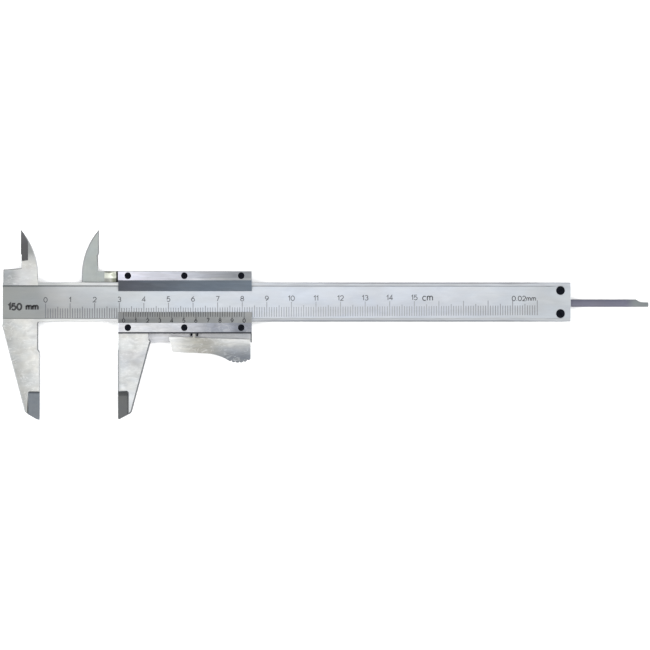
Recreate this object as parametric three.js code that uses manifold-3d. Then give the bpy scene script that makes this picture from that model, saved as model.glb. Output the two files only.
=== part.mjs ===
// Vernier caliper, 150 mm range, with a thumb lever lock and a depth rod.
//
// Millimetres, lying on its back. X runs along the beam towards the depth rod's tip, Y points from
// the outside jaws to the inside jaws, Z comes out of the scale face.
// Everything is drawn from one datum: x = 0 on the fixed outside measuring face, y = 0 on the beam's
// centre line, z = 0 on the slider's back. The finished group is then moved so that its origin is
// the middle of the bottom of its bounding box.

import * as THREE from 'three';
import { mergeVertices } from 'three/addons/utils/BufferGeometryUtils.js';
import Module from 'manifold-3d';

const wasm = await Module();
wasm.setup();

// ---------------------------------------------------------------- driving dimensions

const JAW_OPENING = 31.8; // the outside jaws' gap as the tool lies here

const BEAM = {
  left: -15, right: 216, halfWidth: 8, back: 1.25, front: 4.75,
  scaleTop: 6.4, scaleBottom: -6.65, scaleDepth: 0.12,
};
const BLADE_SPLIT = { low: 2.9, high: 3.1 }; // levels between which the two inside jaws pass

const SLIDER = {
  left: 0.2, right: 54.5, top: 12.6, shelfBottom: -16.4,
  backWallTop: 1.2, wallTop: 4.78,
  upperWallInner: 8.6, lowerWallInner: -8.05, lowerWallOuter: -12.8,
};
const RAIL = { bottom: 4.8, flatTop: 6.6, edgeTop: 5.0 };
const UPPER_RAIL = { windowEdge: 4.45, bevelEdge: 8.85, outerEdge: 12.6, chamfer: 0.25 };
const VERNIER_RAIL = { windowEdge: -4.05, bevelEdge: -8.5, outerEdge: -12.8, chamfer: 0.6 };

const RAIL_SCREW = {
  headRadius: 1.32, headHeight: 0.78, shankRadius: 0.7, shankEnd: 2.0, slotWidth: 0.4, slotDepth: 0.3,
  x: [4.15, 27.1, 50.2], upperY: 10.7, lowerY: -10.4,
};
const STOP_SCREW = {
  headRadius: 1.75, headHeight: 0.9, shankRadius: 0.85, shankEnd: 0.25, slotWidth: 0.5, slotDepth: 0.4,
  x: 211.85, y: 4.7,
};
const GIB_SCREW = {
  radius: 0.9, z: 3.0, inner: 8.52, outer: 12.3, slotWidth: 0.35, slotDepth: 0.5, x: [15.6, 38.6],
};
const GIB = { left: 2, right: 52.5, inner: 8.05, outer: 8.42, zLow: 1.4, zHigh: 4.6 };

const ROD = {
  left: 38, tip: 216, bottom: -1.95, top: 1.1, zLow: 1.35, zHigh: 2.85,
  tipTop: -0.06, tipFlatStart: 213.8, tipSlopeStart: 210.95,
};
const ROD_GROOVE = { left: 34, bottom: -2.05, top: 1.2, depth: 1.75 };
const ROD_RIVET = { radius: 0.75, x: [44, 50], zLow: 0.03, zHigh: 2.3 };

const LEVER = {
  pivotX: 31.05, pivotY: -10.6, pinRadius: 0.8, zLow: 1.3, zHigh: 4.65, lugTop: 2.6, lugRadius: 2.1,
  neckHalfWidth: 0.45,
};
const LEVER_HOLLOW = { left: [36.2, -20.95], right: [45.0, -23.72], radius: 18 };
const LEVER_PAD = { x: 49, y: -15.75, radius: 8.2, bumps: 6, bumpRadius: 0.8, first: -114, last: -59.5 };
const LEVER_POCKET = { left: 28.35, right: 33.75, bottom: -12, slotLeft: 29.3, slotRight: 32.8 };
const LEVER_SPRING = { wireRadius: 0.38, coilRadius: 1.22, zStart: 3.01, pitch: 0.91, legEnd: -13.85 };

const STOP_PLATE = { left: 206, right: 215.7, halfWidth: 7.6, zLow: 0, zHigh: 1.2 };

const CLEARANCE = 0.05; // radial gap around a pin or a screw
const THROUGH = 20; // how far a cutting tool runs past what it cuts
const CURVE_STEPS = 14;
const ROUND_STEPS = 24;

const INSIDE_JAW = {
  arcRadius: 29, arcLevel: 10.7, edge: -7.7, edgeThickness: 0.4, fixedBase: -0.7, movingBase: -14.75,
  bevelWidth: 3, bevelBottom: 17,
};
// The step behind the fixed outside jaw's measuring face.
const RELIEF = { x: -0.7, slantTop: -19.3, slantBottom: -20.2, fillet: 1 };
const JAW_TIP = { top: -36.6, cornerRadius: 0.7, depthAtBack: 0.5, depthAtFace: 1.1 };
const RUNOUT = { start: -5.7, end: -0.7, cutterRadius: 21 }; // where the cutter left the moving inside jaw

// ---------------------------------------------------------------- helpers

function solidFrom(geometry) {
  const bare = geometry.clone();
  bare.deleteAttribute('normal');
  bare.deleteAttribute('uv');
  const merged = mergeVertices(bare, 1e-5);
  return new wasm.Manifold(new wasm.Mesh({
    numProp: 3,
    vertProperties: new Float32Array(merged.attributes.position.array),
    triVerts: new Uint32Array(merged.index.array),
  }));
}

function geometryFrom(solid) {
  const surface = solid.getMesh();
  const geometry = new THREE.BufferGeometry();
  geometry.setAttribute('position', new THREE.BufferAttribute(surface.vertProperties, 3));
  geometry.setIndex(new THREE.BufferAttribute(surface.triVerts, 1));
  geometry.computeVertexNormals();
  return geometry;
}

// Joins the geometries in the first list and cuts away those in the second.
function shaped(joined, removed = []) {
  const whole = joined.map(solidFrom).reduce((sum, next) => sum.add(next));
  const cut = removed.map(solidFrom).reduce((rest, tool) => rest.subtract(tool), whole);
  return geometryFrom(cut);
}

function outline(points) {
  return new THREE.Shape(points.map(([x, y]) => new THREE.Vector2(x, y)));
}

// An outline in XY between two Z levels.
function plate(shape, zLow, zHigh) {
  const options = { depth: zHigh - zLow, bevelEnabled: false, curveSegments: CURVE_STEPS };
  return new THREE.ExtrudeGeometry(shape, options).translate(0, 0, zLow);
}

// A section drawn in YZ and swept along X.
function barAlongX(section, xLow, xHigh) {
  const turn = new THREE.Matrix4().makeBasis(
    new THREE.Vector3(0, 1, 0), new THREE.Vector3(0, 0, 1), new THREE.Vector3(1, 0, 0));
  return plate(section, xLow, xHigh).applyMatrix4(turn);
}

// A section drawn in XZ and swept along Y.
function barAlongY(section, yLow, yHigh) {
  const turn = new THREE.Matrix4().makeBasis(
    new THREE.Vector3(1, 0, 0), new THREE.Vector3(0, 0, 1), new THREE.Vector3(0, -1, 0));
  return plate(section, -yHigh, -yLow).applyMatrix4(turn);
}

function block([xLow, xHigh], [yLow, yHigh], [zLow, zHigh]) {
  const geometry = new THREE.BoxGeometry(xHigh - xLow, yHigh - yLow, zHigh - zLow);
  return geometry.translate((xLow + xHigh) / 2, (yLow + yHigh) / 2, (zLow + zHigh) / 2);
}

function postAlongZ(x, y, radius, zLow, zHigh) {
  const geometry = new THREE.CylinderGeometry(radius, radius, zHigh - zLow, ROUND_STEPS);
  return geometry.rotateX(Math.PI / 2).translate(x, y, (zLow + zHigh) / 2);
}

function postAlongY(x, z, radius, yLow, yHigh) {
  const geometry = new THREE.CylinderGeometry(radius, radius, yHigh - yLow, ROUND_STEPS);
  return geometry.translate(x, (yLow + yHigh) / 2, z);
}

function named(name, geometry, look) {
  const mesh = new THREE.Mesh(geometry, new THREE.MeshStandardMaterial(look));
  mesh.name = name;
  return mesh;
}

const SATIN_CHROME = { color: 0xc4c9cf, roughness: 0.38, metalness: 1 };
const GROUND_STEEL = { color: 0xd6d6d4, roughness: 0.28, metalness: 1 };
const VERNIER_CHROME = { color: 0xb9bdc2, roughness: 0.42, metalness: 1 };
const ROD_STEEL = { color: 0x807d88, roughness: 0.4, metalness: 1 };
const BLACK_OXIDE = { color: 0x101216, roughness: 0.45, metalness: 0.6 };
const SPRING_BRONZE = { color: 0xb58a52, roughness: 0.35, metalness: 1 };

// ---------------------------------------------------------------- jaw outlines

// The curved back of an inside jaw: an arc from the measuring edge's tip, then straight down to the
// height bottom. Side is +1 where the curve is to the right of the edge, -1 where it is to the left.
function addInsideJawCurve(shape, base, side, bottom) {
  const { arcRadius, arcLevel, edge } = INSIDE_JAW;
  const tip = Math.acos(1 - Math.abs(base - edge) / arcRadius);
  const startAngle = side > 0 ? tip : Math.PI - tip;
  const endAngle = side > 0 ? 0 : Math.PI;
  shape.absarc(base - side * arcRadius, arcLevel, arcRadius, startAngle, endAngle, side > 0);
  shape.lineTo(base, bottom);
}

function fixedInsideJawOutline() {
  const headLeft = BEAM.left + 0.2;
  const shank = INSIDE_JAW.edge + 0.3;
  const shape = new THREE.Shape();
  shape.moveTo(headLeft, 7);
  shape.lineTo(headLeft, 13.3);
  shape.lineTo(shank - 0.6, 13.7);
  shape.absarc(shank - 0.6, 14.3, 0.6, -Math.PI / 2, 0, false);
  shape.lineTo(shank, 19.2);
  shape.lineTo(INSIDE_JAW.edge, 19.7);
  addInsideJawCurve(shape, INSIDE_JAW.fixedBase, 1, 7);
  return shape;
}

function movingInsideJawOutline() {
  const shank = INSIDE_JAW.edge - 0.45;
  const neckBottom = BEAM.halfWidth + 0.1;
  const shape = new THREE.Shape();
  shape.moveTo(SLIDER.left + 1, neckBottom);
  shape.lineTo(SLIDER.left + 1, SLIDER.top);
  shape.lineTo(shank, SLIDER.top);
  shape.lineTo(shank, 18.9);
  shape.lineTo(INSIDE_JAW.edge, 19.9);
  addInsideJawCurve(shape, INSIDE_JAW.movingBase, -1, neckBottom);
  return shape;
}

// The beam with the fixed outside jaw below its left end.
function beamOutline() {
  const shape = new THREE.Shape();
  shape.moveTo(BEAM.left, BEAM.halfWidth);
  shape.lineTo(BEAM.left, -BEAM.halfWidth);
  shape.lineTo(-15.2, -9.7);
  shape.lineTo(-6.0, -44.6);
  shape.lineTo(-4.8, -45.6);
  shape.lineTo(-1.2, -47.8);
  shape.lineTo(0, -47.95);
  shape.lineTo(0, RELIEF.slantBottom);
  shape.lineTo(RELIEF.x, RELIEF.slantTop);
  const filletY = -BEAM.halfWidth - RELIEF.fillet;
  shape.lineTo(RELIEF.x, filletY);
  shape.absarc(RELIEF.x + RELIEF.fillet, filletY, RELIEF.fillet, Math.PI, Math.PI / 2, true);
  shape.lineTo(BEAM.right, -BEAM.halfWidth);
  shape.lineTo(BEAM.right, BEAM.halfWidth);
  return shape;
}

function movingOutsideJawOutline() {
  return outline([
    [SLIDER.left, -12], [SLIDER.left, -19.3], [0, -19.7], [0, -47.6], [0.7, -47.7], [5.1, -45.3],
    [5.65, -44.6], [13.1, -16.9], [13.35, -16.1], [12.4, -14.9], [12.4, -12],
  ]);
}

// The pocket that thins an outside jaw's tip, on one face. Side is +1 for the moving jaw, which
// lies to the right of its measuring face, and -1 for the fixed one.
function jawTipPocket(side, width, faceZ, outward) {
  const shape = new THREE.Shape();
  const r = JAW_TIP.cornerRadius;
  shape.moveTo(-1, JAW_TIP.top - THROUGH);
  shape.lineTo(-1, JAW_TIP.top);
  shape.lineTo(width - r, JAW_TIP.top);
  shape.absarc(width - r, JAW_TIP.top - r, r, Math.PI / 2, 0, true);
  shape.lineTo(width, JAW_TIP.top - THROUGH);
  const tilt = Math.atan((JAW_TIP.depthAtFace - JAW_TIP.depthAtBack) / width);
  const tool = plate(shape, -JAW_TIP.depthAtFace, 2).applyMatrix4(new THREE.Matrix4().set(
    1, 0, 0, 0, 0, 1, 0, 0, Math.tan(tilt), 0, 1, 0, 0, 0, 0, 1));
  tool.scale(side, 1, outward);
  if (side * outward < 0) flipFaces(tool);
  return tool.translate(0, 0, faceZ);
}

// Turns a mirrored geometry's triangles right way out again.
function flipFaces(geometry) {
  const position = geometry.attributes.position;
  const first = new THREE.Vector3();
  const second = new THREE.Vector3();
  for (let corner = 0; corner < position.count; corner += 3) {
    first.fromBufferAttribute(position, corner);
    second.fromBufferAttribute(position, corner + 1);
    position.setXYZ(corner, second.x, second.y, second.z);
    position.setXYZ(corner + 1, first.x, first.y, first.z);
  }
}

// What is ground off an inside jaw's measuring side, as a section in XZ. Side is +1 where the blade
// is to the right of its edge, -1 where it is to the left. The blade's flat face is at flatZ, and
// slopedZ is the face that the bevel is ground from.
function knifeBevel(side, flatZ, slopedZ) {
  const { edge, edgeThickness, bevelWidth } = INSIDE_JAW;
  const outward = Math.sign(slopedZ - flatZ);
  const edgeZ = flatZ + outward * edgeThickness;
  const slope = (slopedZ - edgeZ) / bevelWidth;
  return outline([
    [edge - side, edgeZ - slope], [edge + side * bevelWidth, slopedZ],
    [edge + side * bevelWidth, slopedZ + outward], [edge - side, slopedZ + outward],
  ]);
}

// The curve that the milling cutter left where it ran out, as a section in XZ that rises from the
// height low and is closed one millimetre below it.
function runoutSection(low) {
  const { start, end, cutterRadius } = RUNOUT;
  const angle = Math.asin((end - start) / cutterRadius);
  const shape = new THREE.Shape();
  shape.moveTo(end, low - 1);
  shape.lineTo(start, low - 1);
  shape.absarc(start, low + cutterRadius, cutterRadius, -Math.PI / 2, -Math.PI / 2 + angle, false);
  return shape;
}

// ---------------------------------------------------------------- the fixed half

function beam() {
  const scaleFace = BEAM.front - BEAM.scaleDepth;
  const bevel = knifeBevel(1, BLADE_SPLIT.high, BEAM.front);
  const cuts = [
    block([BEAM.left - 1, BEAM.right + 1], [BEAM.scaleBottom, BEAM.scaleTop], [scaleFace, BEAM.front + 1]),
    block([ROD_GROOVE.left, BEAM.right + 1], [ROD_GROOVE.bottom, ROD_GROOVE.top],
      [BEAM.back - 1, BEAM.back + ROD_GROOVE.depth]),
    barAlongY(bevel, INSIDE_JAW.bevelBottom, INSIDE_JAW.bevelBottom + THROUGH),
    jawTipPocket(-1, 4.65, BEAM.front, 1),
    jawTipPocket(-1, 4.65, BEAM.back, -1),
    barAlongY(runoutSection(BLADE_SPLIT.high), BEAM.halfWidth + 0.02, SLIDER.top + 0.4),
  ];
  for (const y of [STOP_SCREW.y, -STOP_SCREW.y]) {
    const seat = scaleFace - STOP_SCREW.headHeight - CLEARANCE;
    cuts.push(postAlongZ(STOP_SCREW.x, y, STOP_SCREW.headRadius + CLEARANCE, seat, BEAM.front + 1));
    cuts.push(postAlongZ(STOP_SCREW.x, y, STOP_SCREW.shankRadius + CLEARANCE, BEAM.back - 1, BEAM.front));
  }
  const parts = [
    plate(beamOutline(), BEAM.back, BEAM.front),
    plate(fixedInsideJawOutline(), BLADE_SPLIT.high, BEAM.front),
  ];
  return named('beam', shaped(parts, cuts), SATIN_CHROME);
}

function endStopPlate() {
  const holes = [STOP_SCREW.y, -STOP_SCREW.y].map((y) => postAlongZ(
    STOP_SCREW.x, y, STOP_SCREW.shankRadius + CLEARANCE, STOP_PLATE.zLow - 1, STOP_PLATE.zHigh + 1));
  const body = block([STOP_PLATE.left, STOP_PLATE.right], [-STOP_PLATE.halfWidth, STOP_PLATE.halfWidth],
    [STOP_PLATE.zLow, STOP_PLATE.zHigh]);
  return named('end_stop_plate', shaped([body], holes), GROUND_STEEL);
}

// A slotted screw standing along Z with its head's top at zTop, and its slot turned by slotAngle.
function slottedScrew(name, size, x, y, zTop, slotAngle) {
  const headBottom = zTop - size.headHeight;
  const profile = [
    [0, size.shankEnd], [size.shankRadius, size.shankEnd], [size.shankRadius, headBottom],
    [size.headRadius, headBottom], [size.headRadius, zTop], [0, zTop],
  ].map(([radius, height]) => new THREE.Vector2(radius, height));
  const turned = new THREE.LatheGeometry(profile, ROUND_STEPS).rotateX(Math.PI / 2);
  const length = size.headRadius + 1;
  const halfSlot = size.slotWidth / 2;
  const slot = block([-length, length], [-halfSlot, halfSlot], [zTop - size.slotDepth, zTop + 1]);
  slot.rotateZ(slotAngle);
  return named(name, shaped([turned], [slot]).translate(x, y, 0), BLACK_OXIDE);
}

// ---------------------------------------------------------------- the slider

function sliderBody() {
  const s = SLIDER;
  const jawFront = BEAM.front;
  const backBevel = knifeBevel(-1, BLADE_SPLIT.low, s.backWallTop);
  const wallEnd = outline([
    [RUNOUT.end, s.backWallTop], [RUNOUT.end, 3.5], [s.left, s.wallTop], [s.left + 1, s.wallTop],
    [s.left + 1, s.backWallTop],
  ]);
  const parts = [
    block([s.left, s.right], [s.shelfBottom, s.top], [0, s.backWallTop]),
    block([s.left, s.right], [s.upperWallInner, s.top], [0.5, s.wallTop]),
    block([s.left, s.right], [s.lowerWallOuter, s.lowerWallInner], [0.5, s.wallTop]),
    plate(movingOutsideJawOutline(), s.backWallTop, jawFront),
    plate(movingInsideJawOutline(), s.backWallTop, BLADE_SPLIT.low),
    barAlongY(runoutSection(BLADE_SPLIT.low), BEAM.halfWidth + 0.1, s.top),
    barAlongY(wallEnd, BEAM.halfWidth + 0.1, s.top),
  ];
  const cuts = [
    barAlongY(backBevel, INSIDE_JAW.bevelBottom, INSIDE_JAW.bevelBottom + THROUGH),
    jawTipPocket(1, 4, jawFront, 1),
    jawTipPocket(1, 4, s.backWallTop, -1),
    block([LEVER_POCKET.left, LEVER_POCKET.right], [LEVER_POCKET.bottom, -7], [s.backWallTop, THROUGH]),
    block([LEVER_POCKET.slotLeft, LEVER_POCKET.slotRight], [-13, -11], [s.backWallTop, THROUGH]),
    postAlongZ(LEVER.pivotX, LEVER.pivotY, LEVER.pinRadius + CLEARANCE, -1, 2),
  ];
  for (const x of RAIL_SCREW.x) {
    for (const y of [RAIL_SCREW.upperY, RAIL_SCREW.lowerY]) {
      const hole = RAIL_SCREW.shankRadius + CLEARANCE;
      cuts.push(postAlongZ(x, y, hole, RAIL_SCREW.shankEnd - 0.2, s.wallTop + 1));
    }
  }
  for (const x of GIB_SCREW.x) {
    cuts.push(postAlongY(x, GIB_SCREW.z, GIB_SCREW.radius + CLEARANCE, s.upperWallInner - 1, s.top + 1));
  }
  for (const x of ROD_RIVET.x) {
    cuts.push(postAlongZ(x, rodCentre(), ROD_RIVET.radius + CLEARANCE, -1, 2));
  }
  return named('slider_body', shaped(parts, cuts), GROUND_STEEL);
}

// A front rail: flat where its screws are, bevelled down to a thin edge at the window. Outward is
// +1 for the upper rail and -1 for the vernier rail.
function rail(name, { windowEdge, bevelEdge, outerEdge, chamfer }, screwY, look) {
  const outward = Math.sign(outerEdge);
  const section = outline([
    [windowEdge, RAIL.bottom], [windowEdge, RAIL.edgeTop], [bevelEdge, RAIL.flatTop],
    [outerEdge - outward * chamfer, RAIL.flatTop], [outerEdge, RAIL.flatTop - chamfer],
    [outerEdge, RAIL.bottom],
  ]);
  const seat = RAIL.flatTop - RAIL_SCREW.headHeight - CLEARANCE;
  const holes = RAIL_SCREW.x.flatMap((x) => [
    postAlongZ(x, screwY, RAIL_SCREW.headRadius + CLEARANCE, seat, RAIL.flatTop + 1),
    postAlongZ(x, screwY, RAIL_SCREW.shankRadius + CLEARANCE, RAIL.bottom - 1, RAIL.flatTop),
  ]);
  return named(name, shaped([barAlongX(section, SLIDER.left, SLIDER.right)], holes), look);
}

function gibStrip() {
  const strip = block([GIB.left, GIB.right], [GIB.inner, GIB.outer], [GIB.zLow, GIB.zHigh]);
  return named('gib_strip', shaped([strip]), SPRING_BRONZE);
}

function gibScrew(name, x) {
  const { radius, z, inner, outer, slotWidth, slotDepth } = GIB_SCREW;
  const post = postAlongY(x, z, radius, inner, outer);
  const halfSlot = slotWidth / 2;
  const slot = block([x - 2, x + 2], [outer - slotDepth, outer + 1], [z - halfSlot, z + halfSlot]);
  return named(name, shaped([post], [slot]), BLACK_OXIDE);
}

function rodCentre() {
  return (ROD.top + ROD.bottom) / 2;
}

// The rod's outline, with its tip thinned by a concave curve that meets the flat tip smoothly.
function depthRodOutline() {
  const run = ROD.tipFlatStart - ROD.tipSlopeStart;
  const drop = ROD.top - ROD.tipTop;
  const radius = (run * run + drop * drop) / (2 * drop);
  const centreY = ROD.tipTop + radius;
  const shape = outline([
    [ROD.left, ROD.top], [ROD.left, ROD.bottom], [ROD.tip, ROD.bottom], [ROD.tip, ROD.tipTop],
  ]);
  const slopeAngle = Math.atan2(ROD.top - centreY, -run);
  shape.absarc(ROD.tipFlatStart, centreY, radius, -Math.PI / 2, slopeAngle, true);
  return shape;
}

function depthRod() {
  const shape = depthRodOutline();
  const holes = ROD_RIVET.x.map((x) => postAlongZ(
    x, rodCentre(), ROD_RIVET.radius + CLEARANCE, ROD.zLow - 1, ROD_RIVET.zHigh + CLEARANCE));
  return named('depth_rod', shaped([plate(shape, ROD.zLow, ROD.zHigh)], holes), ROD_STEEL);
}

function rodRivet(name, x) {
  const rivet = postAlongZ(x, rodCentre(), ROD_RIVET.radius, ROD_RIVET.zLow, ROD_RIVET.zHigh);
  return named(name, rivet, GROUND_STEEL);
}

// ---------------------------------------------------------------- the thumb lever

// The centres of the round bumps along the thumb pad, from left to right.
function padBumpCentres() {
  const { x, y, radius, bumps, first, last } = LEVER_PAD;
  return Array.from({ length: bumps }, (_, bump) => {
    const angle = THREE.MathUtils.degToRad(first + (last - first) * bump / (bumps - 1));
    return [x + radius * Math.cos(angle), y + radius * Math.sin(angle)];
  });
}

// The lever's plate without its bumps, with its underside hollowed for the finger.
function leverOutline() {
  const { left, right, radius } = LEVER_HOLLOW;
  const halfChord = Math.hypot(right[0] - left[0], right[1] - left[1]) / 2;
  const drop = Math.sqrt(radius * radius - halfChord * halfChord);
  const across = [(right[0] - left[0]) / (2 * halfChord), (right[1] - left[1]) / (2 * halfChord)];
  const middle = [(left[0] + right[0]) / 2, (left[1] + right[1]) / 2];
  const centre = [middle[0] + across[1] * drop, middle[1] - across[0] * drop];
  const startAngle = Math.atan2(left[1] - centre[1], left[0] - centre[0]);
  const endAngle = Math.atan2(right[1] - centre[1], right[0] - centre[0]);
  const shape = outline([[53.5, -15.15], [20.8, -14.0], [22.2, -20.3], left]);
  shape.absarc(...centre, radius, startAngle, endAngle, true);
  padBumpCentres().forEach(([x, y]) => shape.lineTo(x, y));
  shape.lineTo(54.0, -22.6);
  shape.lineTo(54.0, -16.3);
  return shape;
}

function thumbLever() {
  const { pivotX, pivotY, zLow, zHigh, lugTop, lugRadius, neckHalfWidth, pinRadius } = LEVER;
  const cam = outline([
    [28.95, -10.4], [29.15, -8.75], [29.45, -8.2], [29.75, -8.08], [30.2, -8.12], [31.6, -8.7],
    [31.6, -10.6],
  ]);
  const parts = [
    plate(leverOutline(), zLow, zHigh),
    block([pivotX - neckHalfWidth, pivotX + neckHalfWidth], [-15, pivotY - 1], [zLow, zHigh]),
    postAlongZ(pivotX, pivotY, lugRadius, zLow, zHigh),
    plate(cam, zLow, zHigh),
    ...padBumpCentres().map(([x, y]) => postAlongZ(x, y, LEVER_PAD.bumpRadius, zLow, zHigh)),
  ];
  const cuts = [
    block([pivotX - 5, pivotX + 5], [pivotY - lugRadius - 0.1, 0], [lugTop, THROUGH]),
    postAlongZ(pivotX, pivotY, pinRadius + CLEARANCE, 0, THROUGH),
  ];
  return named('thumb_lever', shaped(parts, cuts), GROUND_STEEL);
}

function leverPivotPin() {
  const pin = postAlongZ(LEVER.pivotX, LEVER.pivotY, LEVER.pinRadius, 0.03, SLIDER.wallTop - 0.08);
  return named('lever_pivot_pin', pin, GROUND_STEEL);
}

// The torsion spring's wire: up the left leg, clockwise one and a half turns, down the right leg.
class TorsionSpringPath extends THREE.Curve {
  getPoint(t, target = new THREE.Vector3()) {
    const { coilRadius, zStart, pitch, legEnd } = LEVER_SPRING;
    const legLength = LEVER.pivotY - legEnd;
    const turns = 1.5;
    const coilLength = turns * 2 * Math.PI * coilRadius;
    const run = t * (2 * legLength + coilLength);
    const zEnd = zStart + turns * pitch;
    if (run < legLength) return target.set(LEVER.pivotX - coilRadius, legEnd + run, zStart);
    if (run > legLength + coilLength) {
      const down = run - legLength - coilLength;
      return target.set(LEVER.pivotX + coilRadius, LEVER.pivotY - down, zEnd);
    }
    const turned = (run - legLength) / coilLength;
    const angle = Math.PI - turned * turns * 2 * Math.PI;
    return target.set(
      LEVER.pivotX + coilRadius * Math.cos(angle),
      LEVER.pivotY + coilRadius * Math.sin(angle),
      zStart + turned * (zEnd - zStart));
  }
}

function leverSpring() {
  const section = new THREE.Shape().absarc(0, 0, LEVER_SPRING.wireRadius, 0, Math.PI * 2, false);
  const path = new TorsionSpringPath();
  const options = { steps: 52, curveSegments: 4, bevelEnabled: false, extrudePath: path };
  return named('lever_spring', new THREE.ExtrudeGeometry(section, options), BLACK_OXIDE);
}

// ---------------------------------------------------------------- assembly

function fixedHalf() {
  const group = new THREE.Group();
  const scaleFace = BEAM.front - BEAM.scaleDepth;
  group.add(beam());
  group.add(endStopPlate());
  group.add(slottedScrew('end_stop_screw_upper', STOP_SCREW, STOP_SCREW.x, STOP_SCREW.y, scaleFace, 0.6));
  group.add(slottedScrew('end_stop_screw_lower', STOP_SCREW, STOP_SCREW.x, -STOP_SCREW.y, scaleFace, 2.1));
  return group;
}

function slider() {
  const group = new THREE.Group();
  group.add(sliderBody());
  group.add(rail('upper_guide_rail', UPPER_RAIL, RAIL_SCREW.upperY, SATIN_CHROME));
  group.add(rail('vernier_rail', VERNIER_RAIL, RAIL_SCREW.lowerY, VERNIER_CHROME));
  RAIL_SCREW.x.forEach((x, index) => {
    const place = ['left', 'middle', 'right'][index];
    const angle = 0.4 + 1.3 * index;
    const { upperY, lowerY } = RAIL_SCREW;
    const top = RAIL.flatTop;
    group.add(slottedScrew(`upper_rail_screw_${place}`, RAIL_SCREW, x, upperY, top, angle));
    group.add(slottedScrew(`vernier_rail_screw_${place}`, RAIL_SCREW, x, lowerY, top, angle + 0.8));
  });
  group.add(gibStrip());
  GIB_SCREW.x.forEach((x, index) => group.add(gibScrew(`gib_screw_${['left', 'right'][index]}`, x)));
  group.add(depthRod());
  ROD_RIVET.x.forEach((x, index) => group.add(rodRivet(`depth_rod_rivet_${['left', 'right'][index]}`, x)));
  group.add(thumbLever());
  group.add(leverPivotPin());
  group.add(leverSpring());
  group.position.x = JAW_OPENING;
  return group;
}

function caliper() {
  const group = new THREE.Group();
  group.add(fixedHalf());
  group.add(slider());
  group.updateMatrixWorld(true);
  const box = new THREE.Box3().setFromObject(group, true);
  group.position.set(-(box.min.x + box.max.x) / 2, -(box.min.y + box.max.y) / 2, -box.min.z);
  return group;
}

const group = caliper();

export default group;
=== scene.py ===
# The looks of a vernier caliper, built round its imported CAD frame.
#
# Sizes below are in millimetres in the caliper's own coordinates: x = 0 on the fixed outside
# measuring face, y = 0 on the beam's centre line, z = 0 on the slider's back. The slider's own
# pieces are drawn from its measuring face instead. at() and on_slider() turn both into metres in
# the frame. The datum, the jaws' opening and the main heights come from the CAD nodes' boxes. Up
# and down are along y, and the front is towards +z, as the camera sees the caliper.

import math

import bmesh
import bpy
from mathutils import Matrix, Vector


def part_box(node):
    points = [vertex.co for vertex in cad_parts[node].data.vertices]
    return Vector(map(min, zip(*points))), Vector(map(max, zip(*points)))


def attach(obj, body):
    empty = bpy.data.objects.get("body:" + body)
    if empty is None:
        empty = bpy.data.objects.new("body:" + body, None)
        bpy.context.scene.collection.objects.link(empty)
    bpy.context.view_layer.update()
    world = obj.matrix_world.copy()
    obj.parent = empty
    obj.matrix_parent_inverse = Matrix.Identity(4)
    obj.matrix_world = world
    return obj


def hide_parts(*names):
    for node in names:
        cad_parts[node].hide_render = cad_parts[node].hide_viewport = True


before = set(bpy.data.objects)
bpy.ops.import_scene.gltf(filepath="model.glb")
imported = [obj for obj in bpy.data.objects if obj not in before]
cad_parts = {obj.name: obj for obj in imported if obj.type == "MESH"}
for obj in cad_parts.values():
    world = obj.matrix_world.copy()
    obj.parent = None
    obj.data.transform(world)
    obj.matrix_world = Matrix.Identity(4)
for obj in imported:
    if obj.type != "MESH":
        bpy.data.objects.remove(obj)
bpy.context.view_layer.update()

# ---------------------------------------------------------------- datum and sizes

MM = 0.001
BEAM_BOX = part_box("beam")
RAIL_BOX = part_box("vernier_rail")
JAW_OVERHANG = 15.2  # the beam's left end, left of the measuring face
JAW_DROP = 47.95  # the fixed jaw's tip, below the beam's centre line
RAIL_INSET = 0.2  # the rails' left end, right of the slider's measuring face

DATUM = Vector((BEAM_BOX[0].x + JAW_OVERHANG * MM, BEAM_BOX[0].y + JAW_DROP * MM, 0))
OPENING = (RAIL_BOX[0].x - DATUM.x) / MM - RAIL_INSET

BEAM_FRONT = BEAM_BOX[1].z / MM
BEAM_BACK = BEAM_BOX[0].z / MM
SCALE_DEPTH = 0.12  # how far the scale lies below the beam's front
SCALE_FACE = BEAM_FRONT - SCALE_DEPTH
SCALE_TOP = 6.4
SCALE_BOTTOM = -6.65
HALF_WIDTH = 8.0  # from the beam's centre line to its long edges

RAIL_TOP = RAIL_BOX[1].z / MM
RAIL_EDGE_TOP = 5.0  # the height of the vernier bevel's thin edge
VERNIER_EDGE = (RAIL_BOX[1].y - DATUM.y) / MM
VERNIER_BEVEL_END = -8.5  # where the vernier's bevel meets the rail's flat

ZERO = 2.4  # both zero lines' distance from their measuring face
SCALE_DIVISIONS = 200
VERNIER_DIVISIONS = 50
VERNIER_PITCH = 0.98


def at(x, y, z):
    """A point in caliper millimetres, in the frame."""
    return Vector((DATUM.x + x * MM, DATUM.y + y * MM, z * MM))


def on_slider(x, y, z):
    """A point drawn from the slider's measuring face, in the frame."""
    return at(x + OPENING, y, z)


def caliper(point):
    """A point of the frame in caliper millimetres."""
    return Vector(((point.x - DATUM.x) / MM, (point.y - DATUM.y) / MM, point.z / MM))


# ---------------------------------------------------------------- materials

LIGHT = 1.5  # how strong the studio's light is, which keeps the floor white beside the tool


def srgb(red, green, blue):
    """The colour of a surface that looks like this on a screen, 0 to 255, in the studio's light."""
    def linear(value):
        share = value / 255
        return share / 12.92 if share <= 0.04045 else ((share + 0.055) / 1.055) ** 2.4
    return (linear(red) / LIGHT, linear(green) / LIGHT, linear(blue) / LIGHT, 1.0)


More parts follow.
